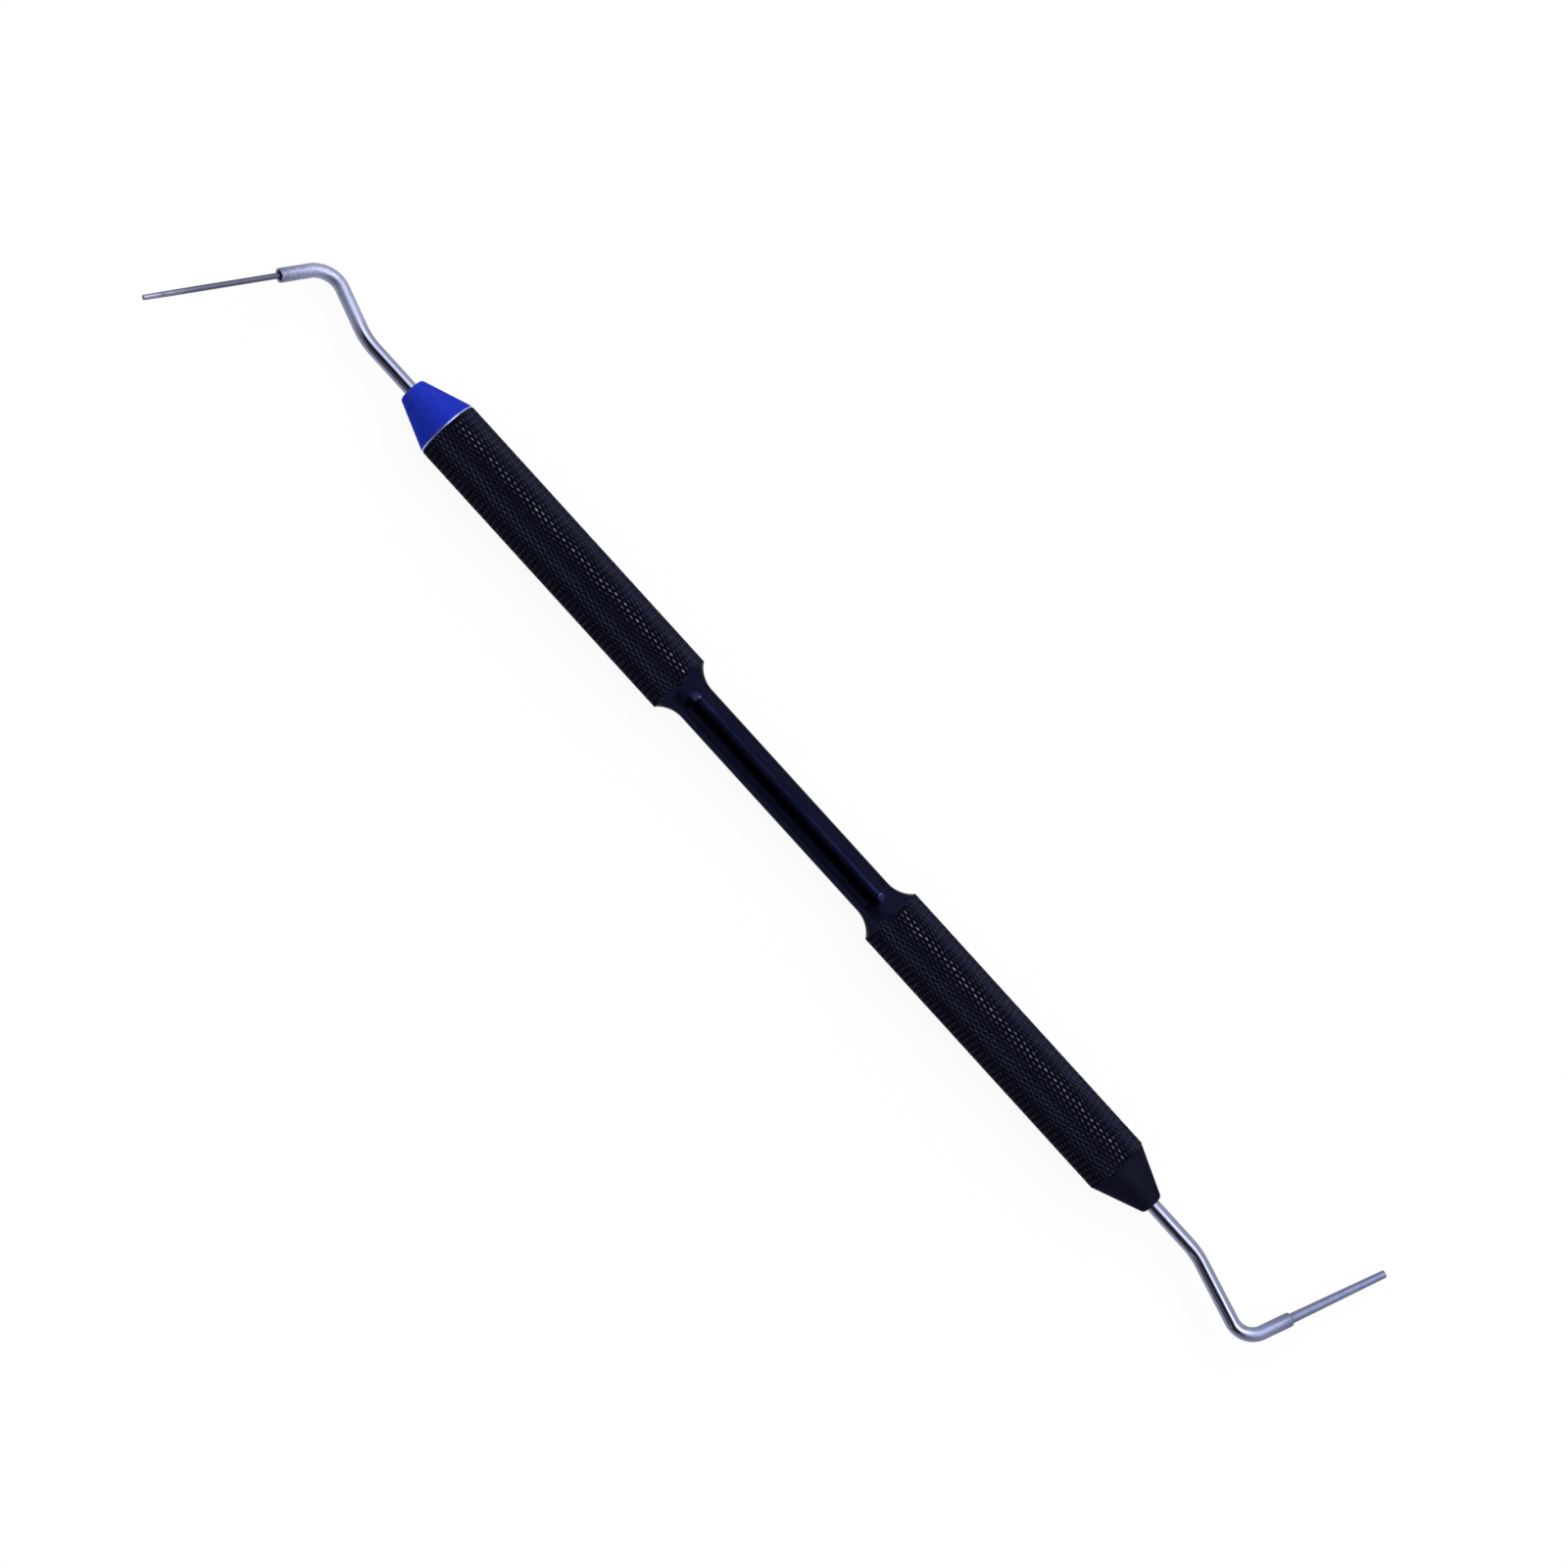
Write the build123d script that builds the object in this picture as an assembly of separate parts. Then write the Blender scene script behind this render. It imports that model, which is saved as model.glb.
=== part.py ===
from build123d import *
from math import asin, cos, degrees, radians, sin, sqrt
import os

# Double-ended endodontic hand plugger: a turned handle with two knurled grips, a nose
# cone at each end, and a bent steel shank in each cone that carries a blunt tip.
#
# Frame: millimetres, +Z up. The instrument lies on the plane z = 0, on its two grips,
# with the rim of the steel tip a hair above it. The handle's axis is parallel to X, and
# the origin is on that plane, straight below the middle of the handle bar. +X points to
# the black end.

# Handle bar
grip_diameter = 7.2
blue_grip_length = 36.5
black_grip_length = 35.8
grip_edge_chamfer = 0.12
waist_diameter = 4.4
waist_length = 27.7
cove_radius = 3.5

# Nose cones: a cone in front of the seam, and a spigot behind it in the bar's socket
cone_length = 5.55
blue_cone_base_diameter = 7.06
blue_cone_front_diameter = 3.0
black_cone_base_diameter = 6.94
black_cone_front_diameter = 2.48
cone_front_rounding = 0.45
cone_base_chamfer = 0.1
spigot_diameter = 4.0
spigot_length = 8.0
spigot_chamfer = 0.3
glue_groove_depth = 0.15
glue_groove_width = 0.6
spigot_groove_places = (2.2, 5.2)
socket_end_gap = 0.3
vent_diameter = 0.9

# Bright ring between the blue cone and the bar
seam_ring_thickness = 0.2
seam_ring_diameter = 7.08

# Steel shanks: straight tail in the cone, a shallow bend, a tight elbow, then the mouth
shank_diameter = 1.58
shank_tail_length = 11.5
shank_tail_chamfer = 0.15
tail_groove_places = (3.0, 6.5)
tail_groove_depth = 0.12
tail_groove_width = 0.5
blue_end_runs = (5.65, 4.7, 3.65)
blue_end_bend_radii = (8.4, 2.9)
blue_end_bend_angles = (20.5, 86.7)
blue_end_roll_angle = 34.5
black_end_runs = (5.7, 6.93, 3.5)
black_end_bend_radii = (9.0, 2.54)
black_end_bend_angles = (15.4, 87.0)
tip_bore_diameter = 1.07
tip_bore_depth = 3.0
blue_mouth_edge = 0.06
blue_mouth_countersink = 0.16
black_mouth_rounding = 0.23

# Nickel-titanium tip of the blue end, and the crimped tube round its tail
niti_diameter = 0.64
niti_tail_diameter = 0.32
niti_tail_reach = 0.1
niti_even_length = 12.7
niti_taper_length = 3.0
niti_end_diameter = 0.58
niti_edge_rounding = 0.06
sleeve_recess = 0.4

# Steel tip of the black end
steel_tip_length = 11.55
steel_tip_base_diameter = 1.12
steel_tip_end_diameter = 0.86
steel_tip_edge_rounding = 0.08

# Radial clearances of the bonded and pressed joints
spigot_clearance = 0.02
shank_clearance = 0.01
bore_clearance = 0.01
sleeve_clearance = 0.01
ring_clearance = 0.02

# Worked out from the sizes above
grip_radius = grip_diameter / 2
waist_radius = waist_diameter / 2
shank_radius = shank_diameter / 2
cove_drop = grip_radius - waist_radius
cove_length = sqrt(cove_radius**2 - (cove_radius - cove_drop) ** 2)
bar_length = blue_grip_length + black_grip_length + waist_length + 2 * cove_length
blue_face_x = -bar_length / 2
black_face_x = bar_length / 2
blue_seat_x = blue_face_x - seam_ring_thickness
socket_radius = spigot_diameter / 2 + spigot_clearance
socket_depth = spigot_length + socket_end_gap
tail_depth = shank_tail_length - cone_length


def turned(profile):
    """A solid turned about the Y axis from edges that run from the axis round to it."""
    outline = Wire(profile)
    if not outline.is_closed:
        closing = Line(outline @ 1, outline @ 0)
        outline = Wire(list(outline.edges()) + [closing])
    return revolve(Face(outline), Axis.Y)


def chain(*points):
    """Straight edges from point to point."""
    return [Line(a, b) for a, b in zip(points, points[1:])]


def groove(radius, depth, width, place):
    """A ring to cut from a shaft on the Y axis, centred on y = place."""
    outer = Cylinder(radius + depth, width)
    inner = Cylinder(radius - depth, width)
    return Pos(0, place, 0) * Rot(90, 0, 0) * (outer - inner)


def handle_bar():
    """The bar, turned about X: grip, cove, waist, cove, grip, with a socket in each end."""
    blue_grip_end = blue_face_x + blue_grip_length
    black_grip_end = black_face_x - black_grip_length
    waist_blue_end = blue_grip_end + cove_length
    waist_black_end = black_grip_end - cove_length
    c = grip_edge_chamfer
    cove_middle_angle = asin(cove_length / cove_radius) / 2
    cove_x = cove_radius * sin(cove_middle_angle)
    cove_y = waist_radius + cove_radius * (1 - cos(cove_middle_angle))
    edges = chain(
        (blue_face_x, 0),
        (blue_face_x, grip_radius - c),
        (blue_face_x + c, grip_radius),
        (blue_grip_end, grip_radius),
    )
    edges.append(
        ThreePointArc(
            (blue_grip_end, grip_radius),
            (waist_blue_end - cove_x, cove_y),
            (waist_blue_end, waist_radius),
        )
    )
    edges += chain((waist_blue_end, waist_radius), (waist_black_end, waist_radius))
    edges.append(
        ThreePointArc(
            (waist_black_end, waist_radius),
            (waist_black_end + cove_x, cove_y),
            (black_grip_end, grip_radius),
        )
    )
    edges += chain(
        (black_grip_end, grip_radius),
        (black_face_x - c, grip_radius),
        (black_face_x, grip_radius - c),
        (black_face_x, 0),
        (blue_face_x, 0),
    )
    bar = revolve(Face(Wire(edges)), Axis.X)
    socket = Rot(0, 90, 0) * Cylinder(socket_radius, socket_depth)
    bar -= Pos(blue_face_x + socket_depth / 2, 0, 0) * socket
    bar -= Pos(black_face_x - socket_depth / 2, 0, 0) * socket
    return Pos(0, 0, grip_radius) * bar


def nose_cone(base_diameter, front_diameter):
    """A cone on the Y axis with its seat at y = 0, its spigot behind and a bore through."""
    base = base_diameter / 2
    front = front_diameter / 2
    spigot = spigot_diameter / 2
    solid = turned(
        chain(
            (0, -spigot_length),
            (spigot - spigot_chamfer, -spigot_length),
            (spigot, -spigot_length + spigot_chamfer),
            (spigot, 0),
            (base - cone_base_chamfer, 0),
            (base, cone_base_chamfer),
            (front, cone_length),
            (0, cone_length),
        )
    )
    front_edge = solid.edges().sort_by(Axis.Y)[-1]
    solid = fillet(front_edge, cone_front_rounding)
    for place in spigot_groove_places:
        solid -= groove(spigot, glue_groove_depth, glue_groove_width, -place)
    bore_length = cone_length + tail_depth
    bore = Cylinder(shank_radius + shank_clearance, bore_length)
    vent = Cylinder(vent_diameter / 2, 2 * spigot_length)
    solid -= Pos(0, cone_length - bore_length / 2, 0) * Rot(90, 0, 0) * bore
    solid -= Pos(0, -spigot_length, 0) * Rot(90, 0, 0) * vent
    return solid


def seam_ring():
    """A thin washer on the Y axis, between y = 0 and the bar's face behind it."""
    outer = Cylinder(seam_ring_diameter / 2, seam_ring_thickness)
    inner = Cylinder(spigot_diameter / 2 + ring_clearance, seam_ring_thickness)
    return Pos(0, -seam_ring_thickness / 2, 0) * Rot(90, 0, 0) * (outer - inner)


def bent_line(runs, radii, angles):
    """The rod's centre line from the cone's front face to where its last run starts."""
    first_run = Line((0, cone_length), (0, cone_length + runs[0]))
    shallow_bend = JernArc(first_run @ 1, first_run % 1, radii[0], angles[0])
    second_run = Line(shallow_bend @ 1, (shallow_bend @ 1) + (shallow_bend % 1) * runs[1])
    elbow = JernArc(second_run @ 1, second_run % 1, radii[1], -angles[1])
    return Wire([first_run, shallow_bend, second_run, elbow])


def mouth_frame(line, last_run):
    """The plane of the mouth, whose Y axis leaves the rod along its last run."""
    heading = line % 1
    centre = (line @ 1) + heading * last_run
    return Plane(origin=centre, x_dir=(heading.Y, -heading.X, 0), z_dir=(0, 0, 1))


def shank_tail():
    """The straight stretch in the cone's bore, with glue grooves."""
    r = shank_radius
    c = shank_tail_chamfer
    tail = turned(
        chain(
            (0, -tail_depth),
            (r - c, -tail_depth),
            (r, c - tail_depth),
            (r, cone_length),
            (0, cone_length),
        )
    )
    for place in tail_groove_places:
        tail -= groove(r, tail_groove_depth, tail_groove_width, place - tail_depth)
    return tail


def plain_mouth(last_run):
    """The last run of the blue end's rod: a bore with a countersink for the wire."""
    r = shank_radius
    bore = tip_bore_diameter / 2
    sink = blue_mouth_countersink
    return turned(
        chain(
            (0, -last_run),
            (r, -last_run),
            (r, -blue_mouth_edge),
            (r - blue_mouth_edge, 0),
            (bore + sink, 0),
            (bore, -sink),
            (bore, -tip_bore_depth),
            (0, -tip_bore_depth),
        )
    )


def round_mouth(last_run):
    """The last run of the black end's rod: a soft shoulder round the tip's bore."""
    r = shank_radius
    bore = tip_bore_diameter / 2
    e = black_mouth_rounding
    edges = chain((0, -last_run), (r, -last_run), (r, -e))
    edges.append(RadiusArc((r, -e), (r - e, 0), -e))
    edges += chain((r - e, 0), (bore, 0), (bore, -tip_bore_depth), (0, -tip_bore_depth))
    return turned(edges)


def shank(line, mouth, last_run, mouth_piece):
    """A whole rod: its tail, the bent stretch along the line, and its mouth."""
    start = Plane(origin=line @ 0, z_dir=line % 0)
    bent = sweep(start * Circle(shank_radius), path=line)
    return shank_tail() + bent + mouth.location * mouth_piece(last_run)


def niti_wire():
    """The wire on the Y axis: a ground tail that just clears the mouth, then the tip."""
    tail = niti_tail_diameter / 2
    r = niti_diameter / 2
    end = niti_end_diameter / 2
    e = niti_edge_rounding
    taper_y = niti_tail_reach + niti_even_length
    tip_y = taper_y + niti_taper_length
    edges = chain(
        (0, -tip_bore_depth),
        (tail, -tip_bore_depth),
        (tail, niti_tail_reach),
        (r, niti_tail_reach),
        (r, taper_y),
        (end, tip_y - e),
    )
    edges.append(RadiusArc((end, tip_y - e), (end - e, tip_y), -e))
    edges += chain((end - e, tip_y), (0, tip_y))
    return turned(edges)


def crimp_sleeve():
    """The tube between the wire's tail and the rod's bore, set back from the mouth."""
    length = tip_bore_depth - sleeve_recess
    outer = Cylinder(tip_bore_diameter / 2 - bore_clearance, length)
    inner = Cylinder(niti_tail_diameter / 2 + sleeve_clearance, length)
    return Pos(0, -sleeve_recess - length / 2, 0) * Rot(90, 0, 0) * (outer - inner)


def tapered_tip():
    """The steel tip on the Y axis: a tail in the rod's bore, then a slender blunt cone."""
    tail = tip_bore_diameter / 2 - bore_clearance
    base = steel_tip_base_diameter / 2
    end = steel_tip_end_diameter / 2
    e = steel_tip_edge_rounding
    edges = chain(
        (0, -tip_bore_depth),
        (tail, -tip_bore_depth),
        (tail, 0),
        (base, 0),
        (end, steel_tip_length - e),
    )
    edges.append(RadiusArc((end, steel_tip_length - e), (end - e, steel_tip_length), -e))
    edges += chain((end - e, steel_tip_length), (0, steel_tip_length))
    return turned(edges)


def black_end_roll(line, last_run):
    """The roll of the black end's bends about the handle that lays its tip on z = 0."""
    tip_end = (line @ 1) + (line % 1) * (last_run + steel_tip_length)
    return degrees(asin((grip_radius - steel_tip_end_diameter / 2) / tip_end.X))


def end_frame(seat_x, outward, roll, side):
    """A cone's seat: Y points outward along the handle, X across it to the tip's side."""
    across = (0, side * cos(radians(roll)), -side * sin(radians(roll)))
    out = Vector(outward, 0, 0)
    return Plane(origin=(seat_x, 0, grip_radius), x_dir=across, z_dir=Vector(across).cross(out))


def build():
    """Every piece in its place, by name."""
    blue_line = bent_line(blue_end_runs, blue_end_bend_radii, blue_end_bend_angles)
    black_line = bent_line(black_end_runs, black_end_bend_radii, black_end_bend_angles)
    blue_mouth = mouth_frame(blue_line, blue_end_runs[2])
    black_mouth = mouth_frame(black_line, black_end_runs[2])
    lie = black_end_roll(black_line, black_end_runs[2])
    blue_end = end_frame(blue_seat_x, -1, blue_end_roll_angle, -1).location
    black_end = end_frame(black_face_x, 1, lie, 1).location
    return {
        "handle_body": handle_bar(),
        "blue_nose_cone": blue_end * nose_cone(blue_cone_base_diameter, blue_cone_front_diameter),
        "black_nose_cone": black_end * nose_cone(black_cone_base_diameter, black_cone_front_diameter),
        "seam_ring": blue_end * seam_ring(),
        "blue_end_shank": blue_end * shank(blue_line, blue_mouth, blue_end_runs[2], plain_mouth),
        "black_end_shank": black_end * shank(black_line, black_mouth, black_end_runs[2], round_mouth),
        "niti_tip": blue_end * blue_mouth.location * niti_wire(),
        "niti_tip_sleeve": blue_end * blue_mouth.location * crimp_sleeve(),
        "steel_tip": black_end * black_mouth.location * tapered_tip(),
    }


os.makedirs("parts", exist_ok=True)
for name, piece in build().items():
    export_step(piece, f"parts/{name}.step")
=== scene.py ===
"""Looks of a double-ended root-canal hand plugger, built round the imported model, in metres.

The instrument lies on the floor z = 0 with its handle along X. Each piece is made in a frame of
its own, in millimetres, whose Y axis is the piece's own axis, and is then put where the model
has it. The handle bar is dressed as two knurled grips and a smooth waist between them.
"""

import math
import random

import bmesh
import bpy
from mathutils import Matrix, Vector


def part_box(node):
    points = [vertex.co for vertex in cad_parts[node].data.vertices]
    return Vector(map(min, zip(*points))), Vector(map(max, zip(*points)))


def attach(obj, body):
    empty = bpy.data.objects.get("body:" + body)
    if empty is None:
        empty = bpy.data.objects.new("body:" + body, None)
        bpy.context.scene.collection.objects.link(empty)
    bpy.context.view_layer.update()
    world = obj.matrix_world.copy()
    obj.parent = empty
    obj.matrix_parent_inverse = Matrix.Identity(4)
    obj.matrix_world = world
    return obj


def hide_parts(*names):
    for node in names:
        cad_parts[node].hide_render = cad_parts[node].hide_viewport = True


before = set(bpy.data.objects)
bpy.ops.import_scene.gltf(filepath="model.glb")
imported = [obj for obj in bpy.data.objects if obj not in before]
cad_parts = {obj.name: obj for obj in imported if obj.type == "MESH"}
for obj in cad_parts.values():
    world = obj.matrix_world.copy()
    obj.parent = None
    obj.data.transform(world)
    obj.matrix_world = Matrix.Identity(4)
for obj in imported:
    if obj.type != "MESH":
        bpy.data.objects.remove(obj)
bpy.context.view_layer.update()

MM = 0.001

# How finely rounds are cut, and the angle in degrees from which an edge shows as crisp
around_waist = 192
around_cone = 160
around_rod = 96
around_tip = 64
around_floor = 96
cove_steps = 28
rounding_steps = 8
tip_edge_steps = 6
bend_step_degrees = 2.5
crisp_angle = 28
knurl_crisp_angle = 20

# Handle bar
grip_radius = 3.6
blue_grip_length = 36.5
black_grip_length = 35.8
waist_radius = 2.2
cove_radius = 3.5
end_chamfer = 0.12
seam_ring_thickness = 0.2
seam_ring_radius = 3.54
seam_ring_edge = 0.03
seam_ring_gap = 0.05

# Hidden joint: the waist's piece ends a little under the grip's grooves, and goes on into each
# grip as a plug that is thinner by plug_step; the grip's own cap is thinner still
cove_overlap = 0.02
plug_step = 0.4
plug_length = 0.6
cap_step = 1.0

# Knurl: two families of helical grooves that cross
knurl_starts = 44
knurl_pitch = 1.43
knurl_depth = 0.115
knurl_crown = 0.004
knurl_tilt = 0.006
knurl_seed = 7
crest_slack = 1e-6
# A diamond's mesh is cut at these shares of the way from one groove to the next; the third
# is where the groove's flank ends and the crest begins
cell_ticks = (0, 0.06, 0.31, 0.5, 0.69, 0.94, 1)
flank_share = cell_ticks[2]

# Nose cones
cone_length = 5.55
blue_cone_radii = (3.53, 1.5)
black_cone_radii = (3.47, 1.24)
cone_front_rounding = 0.45
cone_base_chamfer = 0.1
cone_edge_band = 0.12
cone_bore_edge = 0.04
cone_bore_depth = 1.5
spigot_radius = 2.0
spigot_stub = 0.5

# Shanks: straight runs, and the radii and angles of the bends between them
shank_radius = 0.79
shank_tail = 2.0
fit_gap = 0.02
blue_end_runs = (5.65, 4.7, 3.65)
blue_end_bends = ((8.4, 20.5), (2.9, -86.7))
blue_end_roll = 34.5
black_end_runs = (5.7, 6.93, 3.5)
black_end_bends = ((9.0, 15.4), (2.54, -87.0))
tip_bore_radius = 0.535
tip_bore_depth = 3.0
blue_mouth_edge = 0.06
blue_mouth_softness = 0.15
blue_mouth_countersink = 0.16
black_mouth_rounding = 0.23

# Tips
wire_radius = 0.32
wire_end_radius = 0.29
wire_even_length = 12.8
wire_taper_length = 3.0
wire_edge = 0.06
wire_tail_radius = 0.16
wire_root_depth = 0.3
wire_steps = 6
tail_end_gap = 0.1
sleeve_recess = 0.4
sleeve_radius = 0.525
sleeve_length = 2.4
sleeve_edge = 0.03
sleeve_hole_gap = 0.015
sleeve_hole_edge = 0.02
sleeve_hole_depth = 0.25
steel_tip_length = 11.55
steel_tip_base_radius = 0.56
steel_tip_end_radius = 0.43
steel_tip_edge = 0.08


# ---------------------------------------------------------------- shader maths


class Value:
    """A shader socket that Python's operators work on, by adding Math nodes."""

    def __init__(self, finish, socket):
        self.finish = finish
        self.socket = socket

    def maths(self, operation, *others):
        values = dict(enumerate((self, *others)))
        return self.finish.node("ShaderNodeMath", {"operation": operation}, values)

    def __add__(self, other):
        return self.maths("ADD", other)

    def __sub__(self, other):
        return self.maths("SUBTRACT", other)

    def __rsub__(self, other):
        return (self * -1.0) + other

    def __mul__(self, other):
        return self.maths("MULTIPLY", other)

    def __truediv__(self, other):
        return self.maths("DIVIDE", other)

    __radd__ = __add__
    __rmul__ = __mul__

    def step(self, low, high, to_low=0.0, to_high=1.0):
        """Eases from to_low to to_high as this goes from low to high."""
        values = {0: self, 1: low, 2: high, 3: to_low, 4: to_high}
        return self.finish.node("ShaderNodeMapRange", {"interpolation_type": "SMOOTHSTEP"}, values)


class Finish:
    """A node tree: a material's or the world's."""

    def __init__(self, tree):
        self.tree = tree
        tree.nodes.clear()

    def node(self, kind, settings=None, values=None, output=0):
        made = self.tree.nodes.new(kind)
        for name, setting in (settings or {}).items():
            setattr(made, name, setting)
        for name, value in (values or {}).items():
            if isinstance(value, Value):
                self.tree.links.new(value.socket, made.inputs[name])
            else:
                made.inputs[name].default_value = value
        return Value(self, made.outputs[output]) if made.outputs else None

    def place(self, stretch=(1.0, 1.0, 1.0)):
        """Where the point is in its piece's own frame, stretched along that frame's axes."""
        own = self.node("ShaderNodeAttribute", {"attribute_name": "own_place"}, output="Vector")
        return self.node("ShaderNodeVectorMath", {"operation": "MULTIPLY"}, {0: own, 1: stretch})

    def noise(self, scale, detail=3.0, stretch=(1.0, 1.0, 1.0)):
        """Noise from 0 to 1, with about scale waves to the millimetre."""
        values = {"Vector": self.place(stretch), "Scale": scale, "Detail": detail}
        return self.node("ShaderNodeTexNoise", values=values)

    def reading(self, name):
        """A number that the mesh carries at each point."""
        return self.node("ShaderNodeAttribute", {"attribute_name": name}, output="Fac")

    def blend(self, factor, one, other):
        """A colour between two colours."""
        values = {0: factor, 6: one, 7: other}
        return self.node("ShaderNodeMix", {"data_type": "RGBA"}, values, output=2)

    def bump(self, height, distance):
        """A bump of that many millimetres."""
        return self.node("ShaderNodeBump", values={"Height": height, "Distance": distance * MM})


def rgb(red, green, blue):
    return (red, green, blue, 1.0)


def material(name, colour, glancing, paint):
    """A metal finish; glancing is how much of its shine is left at low angles.

    paint(finish) gives what its shader's sockets hold.
    """
    made = bpy.data.materials.new(name)
    made.use_nodes = True
    made.diffuse_color = colour
    finish = Finish(made.node_tree)
    edge = rgb(glancing, glancing, glancing)
    sockets = {"Base Color": colour, "Metallic": 1.0, "Specular Tint": edge, **paint(finish)}
    shader = finish.node("ShaderNodeBsdfPrincipled", values=sockets)
    finish.node("ShaderNodeOutputMaterial", values={"Surface": shader})
    return made


# ---------------------------------------------------------------- finishes


def anodised_knurl():
    """Black anodising over the knurl: matt grooves painted darker as shade, glossy crests that are
    rubbed here and there.
    """
    # The groove colour is painted shade down in the grooves; the crest colour is the dyed crest's own
    groove, crest = rgb(0.0066, 0.007, 0.018), rgb(0.018, 0.019, 0.033)
    rubbed = rgb(0.04, 0.041, 0.056)

    def paint(finish):
        height = finish.reading("crest")
        top = height.step(0.8, 1.0)
        flank = height.step(0.25, 0.9)
        wear = finish.noise(0.9, detail=4.0).step(0.45, 0.7) * top
        grain = finish.noise(16.0, detail=2.0)
        # Painted shade: the colour darkens from the crest down the flank into the groove
        dye_and_painted_groove_shade = finish.blend(0.4 * flank + 0.6 * top, groove, crest)
        return {
            "Base Color": finish.blend(wear * 0.7, dye_and_painted_groove_shade, rubbed),
            "Roughness": 0.55 - 0.3 * flank - 0.1 * top + 0.1 * finish.noise(2.3, detail=2.0),
            "Normal": finish.bump(grain, 0.002),
        }

    return material("black_anodised_knurl", crest, 0.5, paint)


def anodised_smooth(name, dark, light, rubbed, gloss, cloudy, turning, glancing=0.5, sealed=0.0):
    """Dyed anodising on turned aluminium: fine rings, cloudy dye, rubbed edges.

    gloss is the least roughness and cloudy how much the clouds add to it, turning is the depth
    of the rings in millimetres, and sealed is how much of a clear, glossy sealing layer lies
    over the dye.
    """

    def paint(finish):
        cloud = finish.noise(0.35, detail=3.0)
        rings = finish.noise(7.0, detail=2.0, stretch=(0.06, 3.0, 0.06))
        grain = finish.noise(22.0, detail=1.0)
        rub = finish.reading("edge") * finish.noise(1.4, detail=3.0).step(0.35, 0.7)
        colour = finish.blend(cloud.step(0.3, 0.7), dark, light)
        return {
            "Base Color": finish.blend(rub, colour, rubbed),
            "Roughness": gloss + cloudy * cloud + 0.04 * grain,
            "Coat Weight": sealed,
            "Coat Roughness": 0.04,
            "Normal": finish.bump(0.7 * rings + 0.3 * grain, turning),
        }

    return material(name, light, glancing, paint)


def bright_ring():
    """Bare turned aluminium with fine rings."""
    light, dull = rgb(0.36, 0.41, 0.8), rgb(0.2, 0.24, 0.55)

    def paint(finish):
        spots = finish.noise(2.2, detail=4.0)
        rings = finish.noise(30.0, detail=2.0, stretch=(0.05, 1.0, 0.05))
        return {
            "Base Color": finish.blend(spots.step(0.35, 0.7), light, dull),
            "Roughness": 0.3 + 0.2 * spots,
            "Normal": finish.bump(rings, 0.002),
        }

    return material("bright_aluminium", light, 0.8, paint)


def shank_steel(name, satin, satin_from, satin_to, speckle):
    """Polished rod that turns satin, and then grainy, over the last stretch before its mouth; the mouth
    itself is painted darker as shade.

    satin_from and satin_to are millimetres along the rod from the cone's face.
    """
    # The darker colour serves both as grit in the grainy stretch and as painted shade in the mouth
    polished, soiled_and_shaded = rgb(0.25, 0.265, 0.385), rgb(0.1, 0.11, 0.18)
    grainy_from, grainy_to = satin_to - 1.0, satin_to + 4.0

    def paint(finish):
        reach = finish.reading("reach")
        matt = reach.step(satin_from, satin_to)
        grainy = reach.step(grainy_from, grainy_to)
        blast = finish.noise(4.5, detail=4.0)
        cloud = finish.noise(0.8, detail=4.0)
        # The blast speckle darkens the grainy stretch with grit; the edge reading, 1 on the mouth's
        # rings, paints the mouth darker as shade
        grit_and_mouth_shade = blast.step(0.42, 0.66) * grainy * speckle + finish.reading("edge") * 0.5
        base = finish.blend(matt, polished, satin)
        return {
            "Base Color": finish.blend(grit_and_mouth_shade, base, soiled_and_shaded),
            "Roughness": 0.06 + 0.03 * cloud + matt * (0.34 + 0.1 * blast),
            "Normal": finish.bump(grainy * blast, 0.006),
        }

    return material(name, polished, 0.7, paint)


def tip_steel():
    """Ground steel of the tapered tip: satin, with rings from the grinding."""
    light, dark = rgb(0.175, 0.197, 0.315), rgb(0.155, 0.174, 0.28)

    def paint(finish):
        cloud = finish.noise(1.6, detail=4.0)
        rings = finish.noise(14.0, detail=2.0, stretch=(0.08, 1.0, 0.08))
        return {
            "Base Color": finish.blend(cloud.step(0.4, 0.75), light, dark),
            "Roughness": 0.5 + 0.08 * cloud,
            "Normal": finish.bump(rings, 0.001),
        }

    return material("ground_steel_tip", light, 0.6, paint)


def wire_oxide():
    """Dark blue-grey oxide on the wire, with paler patches towards its free end that are a painted
    lighter reflection.
    """
    # Millimetres along the wire over which the painted lighter reflection comes in
    painted_light_from, painted_light_to = 8.0, 15.5
    dark, mid, painted_light_grey = rgb(0.08, 0.086, 0.138), rgb(0.115, 0.122, 0.178), rgb(0.24, 0.245, 0.34)

    def paint(finish):
        reach = finish.reading("reach")
        cloud = finish.noise(1.2, detail=4.0)
        drawn = finish.noise(10.0, detail=3.0, stretch=(2.0, 0.05, 2.0))
        # Painted reflection: paler patches towards the free end stand for the lighter reflection there
        painted_light = reach.step(painted_light_from, painted_light_to) * cloud.step(0.2, 0.65)
        colour = finish.blend(cloud, dark, mid)
        return {
            "Base Color": finish.blend(painted_light, colour, painted_light_grey),
            "Roughness": 0.3 + 0.12 * cloud,
            "Normal": finish.bump(drawn, 0.003),
        }

    return material("dark_nickel_titanium", mid, 0.5, paint)


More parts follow.
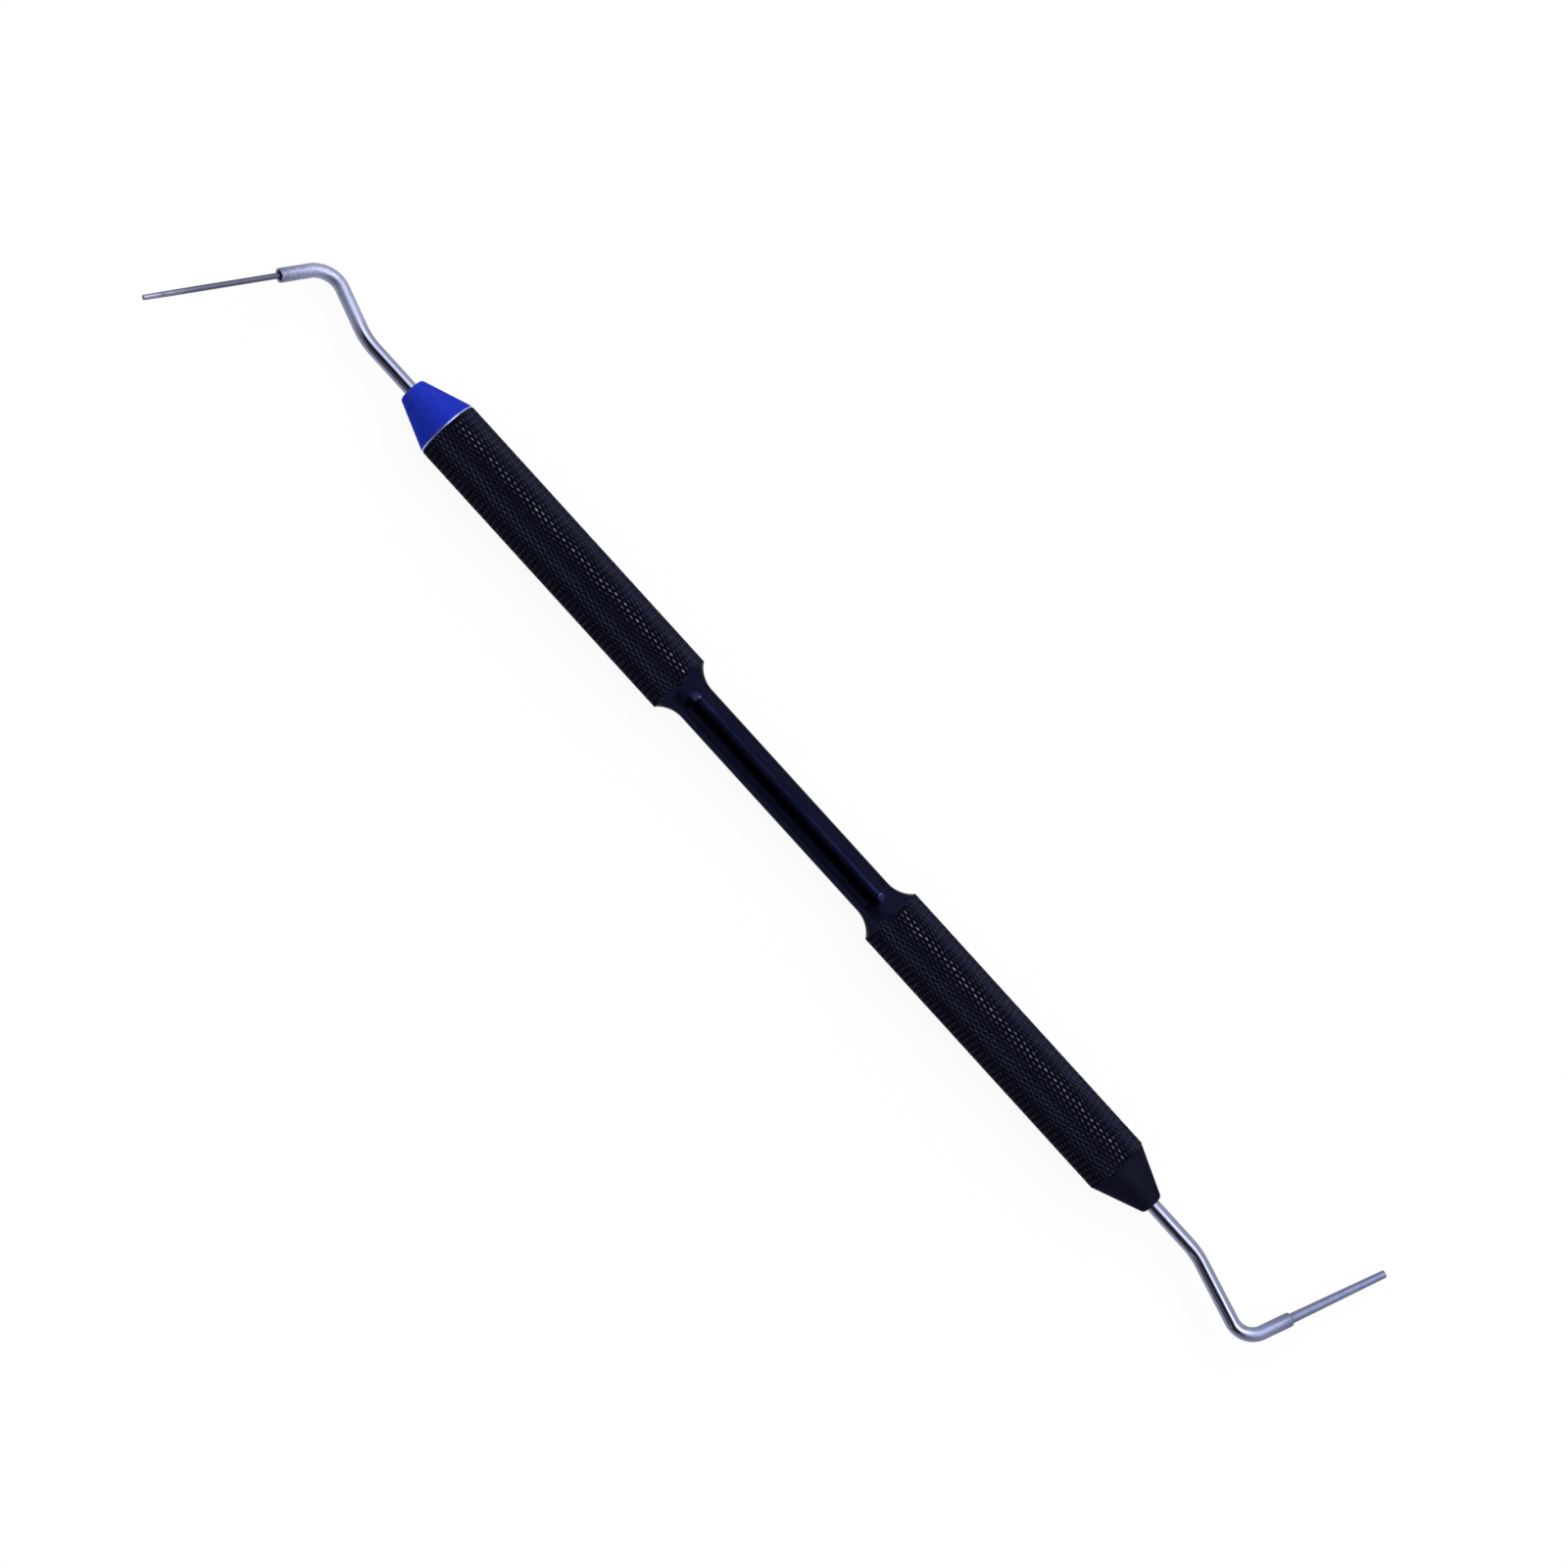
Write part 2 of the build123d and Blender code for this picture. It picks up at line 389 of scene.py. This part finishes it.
def crimp_dark():
    """Soiled, shaded steel down in the mouth."""
    dark, pale = rgb(0.035, 0.037, 0.055), rgb(0.1, 0.105, 0.15)

    def paint(finish):
        cloud = finish.noise(4.0, detail=4.0)
        return {
            "Base Color": finish.blend(cloud.step(0.4, 0.8), dark, pale),
            "Roughness": 0.4 + 0.25 * cloud,
            "Normal": finish.bump(finish.noise(12.0), 0.006),
        }

    return material("crimped_sleeve_steel", dark, 0.5, paint)


# ---------------------------------------------------------------- meshes


def frame_at(origin, across, out):
    """A piece's frame in metres: X across, Y out along its axis."""
    across, out = Vector(across), Vector(out)
    turn = Matrix((across, out, across.cross(out))).transposed().to_4x4()
    return Matrix.Translation(Vector(origin) * MM) @ turn


def mesh_object(name, place, points, faces, readings, finish, crisp):
    """A piece from points in its own frame, closed and facing outward, with crisp edges."""
    mesh = bpy.data.meshes.new(name)
    own = [Vector(point) for point in points]
    mesh.from_pydata([place @ (point * MM) for point in own], [], faces)
    flat = [number for point in own for number in point]
    mesh.attributes.new("own_place", "FLOAT_VECTOR", "POINT").data.foreach_set("vector", flat)
    for key, values in readings.items():
        mesh.attributes.new(key, "FLOAT", "POINT").data.foreach_set("value", values)
    shaped = bmesh.new()
    shaped.from_mesh(mesh)
    bmesh.ops.recalc_face_normals(shaped, faces=shaped.faces)
    shaped.to_mesh(mesh)
    shaped.free()
    mesh.shade_smooth()
    mesh.set_sharp_from_angle(angle=math.radians(crisp))
    mesh.materials.append(finish)
    made = bpy.data.objects.new(name, mesh)
    bpy.context.scene.collection.objects.link(made)
    return made


def tube(name, place, rings, finish, around):
    """A piece skinned over rings (centre, heading, radius, reach, edge), with flat ends."""
    points, faces = [], []
    up = Vector((0, 0, 1))
    for centre, heading, radius, _, _ in rings:
        side = Vector((heading[1], -heading[0], 0))
        for k in range(around):
            a = math.tau * k / around
            points.append(Vector(centre) + radius * (math.cos(a) * side + math.sin(a) * up))
    for ring in range(len(rings) - 1):
        low, high = ring * around, (ring + 1) * around
        for k in range(around):
            n = (k + 1) % around
            faces.append((low + k, low + n, high + n, high + k))
    faces.append(tuple(range(around)))
    faces.append(tuple(range(len(points) - around, len(points))))
    readings = {
        "reach": [ring[3] for ring in rings for _ in range(around)],
        "edge": [ring[4] for ring in rings for _ in range(around)],
    }
    return mesh_object(name, place, points, faces, readings, finish, crisp_angle)


def turned(name, place, profile, finish, around):
    """A piece turned about its own Y axis; profile holds (radius, y) or (radius, y, edge)."""
    rings = [((0, p[1], 0), (0, 1, 0), p[0], p[1], p[2] if len(p) > 2 else 0.0) for p in profile]
    return tube(name, place, rings, finish, around)


def arc(middle_radius, middle_y, radius, start, end, steps, edge=0.0):
    """Profile points on an arc; angles in degrees from the direction square to the axis."""
    found = []
    for k in range(steps + 1):
        a = math.radians(start + (end - start) * k / steps)
        found.append((middle_radius + radius * math.cos(a), middle_y + radius * math.sin(a), edge))
    return found


# ---------------------------------------------------------------- handle

cove_length = math.sqrt(cove_radius**2 - (cove_radius - grip_radius + waist_radius) ** 2)


def cove_height(before_waist):
    """The cove's radius about the handle's axis, so far before the even waist."""
    return waist_radius + cove_radius - math.sqrt(cove_radius**2 - before_waist**2)


def cove_place(radius):
    """How far before the even waist the cove has this radius."""
    return math.sqrt(cove_radius**2 - (waist_radius + cove_radius - radius) ** 2)


groove_floor = grip_radius - knurl_depth
crest_reach = 1 - 2 * flank_share
cove_mouth = cove_place(groove_floor - cove_overlap)
run_out = cove_length - cove_mouth


def knurl_ramp(share):
    """0 in the groove's bottom, 1 on the crest."""
    return min(1.0, min(share, 1 - share) / flank_share)


def knurled_grip(name, place, length, finish):
    """A grip from its outer face at y = 0 to the cove, where the grooves run out."""
    cells = len(cell_ticks) - 1
    reach = length + run_out
    rows = round(2 * reach / knurl_pitch)
    half_pitch = reach / rows
    turn = math.pi / knurl_starts
    chance = random.Random(knurl_seed)
    places, crests, faces, index = [], [], [], {}

    def point(row, column, f, g, tilt):
        key = ((column * cells + f - g) % (2 * knurl_starts * cells), row * cells + f + g)
        if key not in index:
            one, other = cell_ticks[f], cell_ticks[g]
            y = (row + one + other) * half_pitch
            crest = min(knurl_ramp(one), knurl_ramp(other))
            off_f, off_g = one - 0.5, other - 0.5
            radius = grip_radius - knurl_depth * (1 - crest)
            inside = max(abs(off_f), abs(off_g)) <= crest_reach / 2 + crest_slack
            if inside:
                radius -= knurl_crown * ((off_f + off_g) / crest_reach) ** 2
                radius -= tilt[0] + (tilt[1] * off_f + tilt[2] * off_g) / crest_reach
            else:
                radius -= knurl_crown * crest
            radius = min(radius, grip_radius, grip_radius - end_chamfer + max(y, 0.0))
            before_waist = length + cove_length - y
            if before_waist < cove_length:
                radius = min(radius, cove_height(before_waist))
            a = (column + one - other) * turn
            index[key] = len(places)
            places.append((radius * math.cos(a), y, radius * math.sin(a)))
            crests.append(crest)
        return index[key]

    for row in range(-1, rows):
        for column in range(row % 2, 2 * knurl_starts, 2):
            tilt = (
                chance.uniform(0, knurl_tilt),
                chance.uniform(-knurl_tilt, knurl_tilt),
                chance.uniform(-knurl_tilt, knurl_tilt),
            )
            for f in range(cells):
                for g in range(cells):
                    a, b = (f, g), (f + 1, g)
                    c, d = (f + 1, g + 1), (f, g + 1)
                    halves = ((a, b, c), (a, c, d)) if f == g else ((a, b, d), (b, c, d))
                    for half in halves:
                        sums = [row * cells + p + q for p, q in half]
                        if min(sums) >= 0 and max(sums) <= rows * cells:
                            faces.append(tuple(point(row, column, p, q, tilt) for p, q in half))
    for end, inner in ((0, spigot_radius), (rows * cells, groove_floor - cap_step)):
        rim = sorted((key[0], at) for key, at in index.items() if key[1] == end)
        rim = [at for _, at in rim]
        first = len(places)
        for at in rim:
            x, y, z = places[at]
            shrink = inner / math.hypot(x, z)
            places.append((x * shrink, y, z * shrink))
            crests.append(0.0)
        for k in range(len(rim)):
            n = (k + 1) % len(rim)
            faces.append((rim[k], rim[n], first + n, first + k))
        faces.append(tuple(range(first, first + len(rim))))
    return mesh_object(name, place, places, faces, {"crest": crests}, finish, knurl_crisp_angle)


def waist(name, place, length, finish):
    """The even waist from y = 0 to length, the cove at each end, and a plug into each grip."""
    start = cove_mouth
    opening = math.degrees(math.asin(start / cove_radius))
    middle = waist_radius + cove_radius
    near = arc(middle, 0, cove_radius, 180 + opening, 180, cove_steps)
    far = arc(middle, length, cove_radius, 180, 180 - opening, cove_steps)
    plug = groove_floor - plug_step
    profile = [(plug, -start - plug_length), (plug, -start), *near, *far, (plug, length + start)]
    profile.append((plug, length + start + plug_length))
    return turned(name, place, profile, finish, around=around_waist)


def nose_cone(name, place, radii, finish):
    """The cone from its seat at y = 0, its front edge rounded, with the rod's bore in it.

    The third number of a point says how much the edge there is rubbed.
    """
    base, front = radii
    slope = math.atan2(base - front, cone_length - cone_base_chamfer)
    lean = math.degrees(slope)
    r = cone_front_rounding
    inset = r * math.tan((math.pi / 2 - slope) / 2)
    chamfer, band, bore_edge = cone_base_chamfer, cone_edge_band, cone_bore_edge
    profile = [
        (spigot_radius, -spigot_stub),
        (spigot_radius, 0),
        (base - chamfer, 0, 0.6),
        (base, chamfer, 1.0),
        (base - band * math.tan(slope), chamfer + band),
        (front + inset * math.sin(slope), cone_length - inset * math.cos(slope), 0.35),
    ]
    profile += arc(front - inset, cone_length - r, r, lean, 90, rounding_steps, edge=0.8)
    profile += [
        (shank_radius + fit_gap + bore_edge, cone_length, 0.2),
        (shank_radius + fit_gap, cone_length - bore_edge),
        (shank_radius + fit_gap / 2, cone_length - cone_bore_depth),
    ]
    return turned(name, place, profile, finish, around=around_cone)


def seam_ring(name, place, finish):
    """The bright washer behind the blue cone."""
    outer, edge, back = seam_ring_radius, seam_ring_edge, -seam_ring_thickness
    hole = spigot_radius + seam_ring_gap
    profile = [
        (hole, back),
        (outer - edge, back),
        (outer, back + edge),
        (outer, -edge),
        (outer - edge, 0),
        (hole, 0),
    ]
    return turned(name, place, profile, finish, around=around_cone)


# ---------------------------------------------------------------- shanks and tips


def heading_at(turn):
    return Vector((-math.sin(turn), math.cos(turn), 0))


def bent_line(runs, bends):
    """Stations (centre, heading, reach) from inside the cone to the mouth."""
    centre, turn, reach = Vector((0, cone_length - shank_tail, 0)), 0.0, -shank_tail
    stations = [(centre.copy(), heading_at(0), reach)]
    centre, reach = Vector((0, cone_length, 0)), 0.0
    for run, bend in zip(runs, (*bends, None)):
        stations.append((centre.copy(), heading_at(turn), reach))
        centre = centre + heading_at(turn) * run
        reach += run
        stations.append((centre.copy(), heading_at(turn), reach))
        if bend is None:
            break
        radius, degrees = bend
        steps = math.ceil(abs(degrees) / bend_step_degrees)
        step = math.radians(degrees) / steps
        chord = 2 * radius * math.sin(abs(step) / 2)
        for k in range(steps):
            centre = centre + heading_at(turn + step / 2) * chord
            turn += step
            reach += radius * abs(step)
            if k < steps - 1:
                stations.append((centre.copy(), heading_at(turn), reach))
    return stations


def shank(name, place, stations, mouth_profile, finish):
    """The rod along its stations, then its mouth's profile (radius, y) from the mouth's plane."""
    mouth, heading, reach = stations[-1]
    rings = [(c, h, shank_radius, s, 0.0) for c, h, s in stations[:-1]]
    # The mouth's rings carry edge 1, which the rod's finish turns into painted shade in the mouth
    rings += [(mouth + heading * y, heading, r, reach + y, 1.0) for r, y in mouth_profile]
    return tube(name, place, rings, finish, around=around_rod)


def sunk_mouth():
    """A fine outer edge, a flat rim, then a countersink into the bore."""
    r, bore, edge, sink = shank_radius, tip_bore_radius, blue_mouth_edge, blue_mouth_countersink
    rim = [(r, -edge), (r - edge / 2, -edge * blue_mouth_softness), (r - edge, 0)]
    return [*rim, (bore + sink, 0), (bore, -sink), (bore, -tip_bore_depth)]


def soft_mouth():
    """A rounded shoulder that meets the tip."""
    e = black_mouth_rounding
    shoulder = arc(shank_radius - e, -e, e, 0, 90, rounding_steps)
    return [(r, y) for r, y, _ in shoulder] + [(tip_bore_radius, 0), (tip_bore_radius, -tip_bore_depth)]


def mouth_frame(end, stations):
    mouth, heading, _ = stations[-1]
    return end @ frame_at(mouth, (heading.y, -heading.x, 0), heading)


def wire_tip(name, place, finish):
    """The thin wire: even, then tapering a little to a soft-edged flat end."""
    tip, root = wire_even_length + wire_taper_length, -sleeve_recess - wire_root_depth
    profile = [(wire_tail_radius, tail_end_gap - tip_bore_depth), (wire_tail_radius, root)]
    profile += [(wire_radius, root)]
    profile += [(wire_radius, wire_even_length * k / wire_steps) for k in range(wire_steps + 1)]
    profile += arc(wire_end_radius - wire_edge, tip - wire_edge, wire_edge, 0, 90, tip_edge_steps)
    return turned(name, place, profile, finish, around=around_tip)


def sleeve(name, place, finish):
    """What shows of the crimped tube down in the mouth."""
    face, hole, edge = -sleeve_recess, wire_radius + sleeve_hole_gap, sleeve_edge
    profile = [
        (sleeve_radius, face - sleeve_length),
        (sleeve_radius, face - edge),
        (sleeve_radius - edge, face),
        (hole + sleeve_hole_edge, face),
        (hole, face - edge),
        (hole, face - sleeve_hole_depth),
    ]
    return turned(name, place, profile, finish, around=around_tip)


def steel_tip(name, place, finish):
    """The slender blunt cone."""
    edge, tail = steel_tip_edge, tip_bore_radius - fit_gap / 2
    profile = [(tail, tail_end_gap - tip_bore_depth), (tail, 0), (steel_tip_base_radius, 0)]
    profile += arc(steel_tip_end_radius - edge, steel_tip_length - edge, edge, 0, 90, tip_edge_steps)
    return turned(name, place, profile, finish, around=around_tip)


# ---------------------------------------------------------------- assembly

bar_low, bar_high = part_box("handle_body")
blue_face, black_face = bar_low.x / MM, bar_high.x / MM
blue_seat = blue_face - seam_ring_thickness
axis_height = grip_radius


def end_frame(seat, out, side, roll):
    """A cone's seat: Y out along the handle, X across it to the side of its tip."""
    lean = math.radians(roll)
    across = (0, side * math.cos(lean), -side * math.sin(lean))
    return frame_at((seat, 0, axis_height), across, (out, 0, 0))


def lying_roll(stations):
    """The roll of the black end's bends that brings its tip down to the floor."""
    mouth, heading, _ = stations[-1]
    tip_end = mouth + heading * steel_tip_length
    return math.degrees(math.asin((axis_height - steel_tip_end_radius) / tip_end.x))


blue_line = bent_line(blue_end_runs, blue_end_bends)
black_line = bent_line(black_end_runs, black_end_bends)
blue_end = end_frame(blue_seat, -1, -1, blue_end_roll)
black_end = end_frame(black_face, 1, 1, lying_roll(black_line))
blue_mouth = mouth_frame(blue_end, blue_line)
black_mouth = mouth_frame(black_end, black_line)
blue_grip_frame = frame_at((blue_face, 0, axis_height), (0, 1, 0), (1, 0, 0))
black_grip_frame = frame_at((black_face, 0, axis_height), (0, 1, 0), (-1, 0, 0))
waist_start = blue_face + blue_grip_length + cove_length
waist_length = black_face - black_grip_length - cove_length - waist_start
waist_frame = frame_at((waist_start, 0, axis_height), (0, 1, 0), (1, 0, 0))

knurl_black = anodised_knurl()
smooth_black = anodised_smooth(
    "black_anodised",
    dark=rgb(0.003, 0.0042, 0.0185),
    light=rgb(0.004, 0.0052, 0.0215),
    rubbed=rgb(0.02, 0.022, 0.04),
    gloss=0.08, cloudy=0.04, turning=0.0003, glancing=0.43, sealed=0.07,
)
cone_blue = anodised_smooth(
    "blue_anodised",
    dark=rgb(0.0205, 0.0425, 0.5),
    light=rgb(0.022, 0.0455, 0.52),
    rubbed=rgb(0.06, 0.09, 0.55),
    gloss=0.74, cloudy=0.04, turning=0.0015,
)
cone_black = anodised_smooth(
    "black_anodised_satin",
    dark=rgb(0.0075, 0.0078, 0.0185),
    light=rgb(0.009, 0.0093, 0.022),
    rubbed=rgb(0.012, 0.013, 0.028),
    gloss=0.5, cloudy=0.08, turning=0.0015,
)
aluminium = bright_ring()
blue_rod_steel = shank_steel(
    "stainless_steel_blue_end", rgb(0.35, 0.37, 0.54), satin_from=7.0, satin_to=10.5, speckle=0.4,
)
black_rod_steel = shank_steel(
    "stainless_steel_black_end", rgb(0.215, 0.243, 0.375), satin_from=15.6, satin_to=18.0, speckle=0.2,
)
dark_wire = wire_oxide()
sleeve_steel = crimp_dark()
ground_steel = tip_steel()

pieces = (
    (knurled_grip("blue_end_grip", blue_grip_frame, blue_grip_length, knurl_black),
     "handle_body", "black_anodised"),
    (knurled_grip("black_end_grip", black_grip_frame, black_grip_length, knurl_black),
     "handle_body", "black_anodised"),
    (waist("waist", waist_frame, waist_length, smooth_black), "handle_body", "black_anodised"),
    (nose_cone("blue_cone", blue_end, blue_cone_radii, cone_blue),
     "blue_nose_cone", "blue_anodised"),
    (nose_cone("black_cone", black_end, black_cone_radii, cone_black),
     "black_nose_cone", "black_anodised"),
    (seam_ring("bright_ring", blue_end, aluminium), "seam_ring", "bright_aluminium"),
    (shank("blue_end_rod", blue_end, blue_line, sunk_mouth(), blue_rod_steel),
     "blue_end_shank", "stainless_steel"),
    (shank("black_end_rod", black_end, black_line, soft_mouth(), black_rod_steel),
     "black_end_shank", "stainless_steel"),
    (wire_tip("wire", blue_mouth, dark_wire), "niti_tip", "dark_nickel_titanium"),
    (sleeve("crimped_sleeve", blue_mouth, sleeve_steel), "niti_tip_sleeve", "stainless_steel"),
    (steel_tip("tapered_tip", black_mouth, ground_steel), "steel_tip", "stainless_steel"),
)
for piece, node, slot in pieces:
    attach(piece, "root")
    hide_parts(node)

# ---------------------------------------------------------------- floor, light and camera

floor_radius = 2.5
floor_white = rgb(0.95, 0.95, 0.955)
floor_pale = rgb(0.93, 0.93, 0.935)
floor_lift = 0.93

# Tent: brightness of its parts, as seen from the middle of the table
tent_white = rgb(0.97, 0.98, 1.0)
opening_level = 0.045
near_strip_level = 0.55
near_end_level = 0.2
far_strip_level = 0.45
far_end_level = 2.5
far_corner_level = 3.3
far_patch_level = 1.6
bright_side_level = 1.05
dim_side_level = 0.4
horizon_level = 0.65

# Where those parts start and stop. Runs are distances along the handle over height, tilts are
# degrees from straight up across the handle, and rises are parts of a direction of length 1
lowest_height = 0.05
slant_degrees = 7.5
slant_runs = (-0.15, 0.15)
near_end_runs = (0.09, 0.14)
far_end_runs = (0.1, 0.16)
far_corner_runs = (0.2, 0.32)
far_patch_start_runs = (0.145, 0.185)
far_patch_stop_runs = (0.24, 0.34)
opening_end_runs = (0.34, 0.9)
near_tilts = (-48, -32)
far_start_tilts = (2, 20)
far_stop_tilts = (42, 66)
horizon_rises = (0.05, 0.4)
bright_side_rises = (-0.6, 0.2)

# Strip lamps: angles in degrees from straight up, seen from the handle's middle
lamp_height = 0.8
strip_tint = (1.0, 0.96, 0.86)
blue_end_strip_tilt = 42.0
black_end_strip_tilt = 38.5
strip_reach = (4.0, 9.5)
strip_width = 0.3
strip_radiance = 18.5

# Camera
picture_side = 1600
focal_pixels = 4202.0
sensor_width = 36.0
camera_place = (-0.98, 1.11, 440.6)
camera_turn = 47.72
camera_clip = (0.01, 20)


def floor():
    """A wide white round floor that shows as near white, with a faint shadow."""
    made = bpy.data.materials.new("white_floor")
    made.use_nodes = True
    finish = Finish(made.node_tree)
    cloud = finish.noise(0.004, detail=1.0)
    colour = finish.blend(cloud, floor_white, floor_pale)
    lit = finish.node("ShaderNodeBsdfDiffuse", values={"Color": colour})
    plain = finish.node("ShaderNodeEmission", values={"Color": rgb(1.0, 1.0, 1.0), "Strength": 1.0})
    seen = finish.node("ShaderNodeLightPath", output="Is Camera Ray")
    for ray in ("Is Glossy Ray", "Is Transmission Ray"):
        seen = seen.maths("MAXIMUM", finish.node("ShaderNodeLightPath", output=ray))
    shader = finish.node("ShaderNodeMixShader", values={0: seen * floor_lift, 1: lit, 2: plain})
    finish.node("ShaderNodeOutputMaterial", values={"Surface": shader})
    rim = [math.tau * k / around_floor for k in range(around_floor)]
    points = [(floor_radius * math.cos(a) / MM, floor_radius * math.sin(a) / MM, 0) for a in rim]
    whole = [tuple(range(around_floor))]
    mesh_object("floor", Matrix.Identity(4), points, whole, {}, made, crisp_angle)


def tent():
    """The white tent round the table, dimmer on one side, with a dark opening overhead."""
    world = bpy.data.worlds.new("tent")
    bpy.context.scene.world = world
    world.use_nodes = True
    sky = Finish(world.node_tree)
    direction = sky.node("ShaderNodeTexCoord", output="Generated")
    x, y, z = (sky.node("ShaderNodeSeparateXYZ", values={0: direction}, output=k) for k in range(3))
    along = x / z.maths("MAXIMUM", lowest_height)
    run = along.maths("ABSOLUTE")
    slant = along.step(*slant_runs, -slant_degrees, slant_degrees)
    tilt = y.maths("ARCTAN2", z) * math.degrees(1) + slant
    near_level = run.step(*near_end_runs, near_strip_level, near_end_level)
    near = opening_level + (near_level - opening_level) * tilt.step(*near_tilts, 1.0, 0.0)
    far_level = run.step(*far_end_runs, far_strip_level, far_end_level)
    far_level = far_level + run.step(*far_corner_runs) * (far_corner_level - far_end_level)
    patch = along.step(*far_patch_start_runs) - along.step(*far_patch_stop_runs)
    far_level = far_level + patch * far_patch_level
    far = tilt.step(*far_start_tilts) * far_level
    far = far + tilt.step(*far_stop_tilts) * (bright_side_level - far_level)
    horizon = z.step(*horizon_rises, horizon_level, dim_side_level)
    ends = y.step(*bright_side_rises, dim_side_level, bright_side_level).maths("MAXIMUM", horizon)
    beside = run.step(*opening_end_runs)
    level = (near + far) * (1 - beside) + ends * beside
    glow = sky.node("ShaderNodeBackground", values={"Color": tent_white, "Strength": level})
    sky.node("ShaderNodeOutputWorld", values={"Surface": glow})


def strip_lamp(name, end, tilt):
    """An area lamp above one end of the handle that faces the handle's middle.

    It is as long as the two angles of strip_reach mark off along the handle, and tilt degrees
    from straight up across it.
    """
    near, far = (lamp_height * math.tan(math.radians(angle)) for angle in strip_reach)
    light = bpy.data.lights.new(name, "AREA")
    light.shape = "RECTANGLE"
    light.size, light.size_y = far - near, strip_width
    light.color = strip_tint
    light.energy = strip_radiance * math.pi * light.size * light.size_y
    place = Vector((end * (near + far) / 2, lamp_height * math.tan(math.radians(tilt)), lamp_height))
    out = place.normalized()
    side = (Vector((1, 0, 0)) - out * out.x).normalized()
    made = bpy.data.objects.new(name, light)
    made.matrix_world = frame_at(place / MM, side, out.cross(side))
    bpy.context.scene.collection.objects.link(made)


floor()
tent()
strip_lamp("blue_end_strip_lamp", -1, blue_end_strip_tilt)
strip_lamp("black_end_strip_lamp", 1, black_end_strip_tilt)

camera = bpy.data.objects.new("camera", bpy.data.cameras.new("camera"))
camera.data.sensor_width = sensor_width
camera.data.lens = focal_pixels / picture_side * sensor_width
camera.data.clip_start, camera.data.clip_end = camera_clip
camera.location = Vector(camera_place) * MM
camera.rotation_euler = (0, 0, math.radians(camera_turn))
bpy.context.scene.collection.objects.link(camera)
bpy.context.scene.camera = camera
bpy.context.scene.view_settings.view_transform = "Standard"
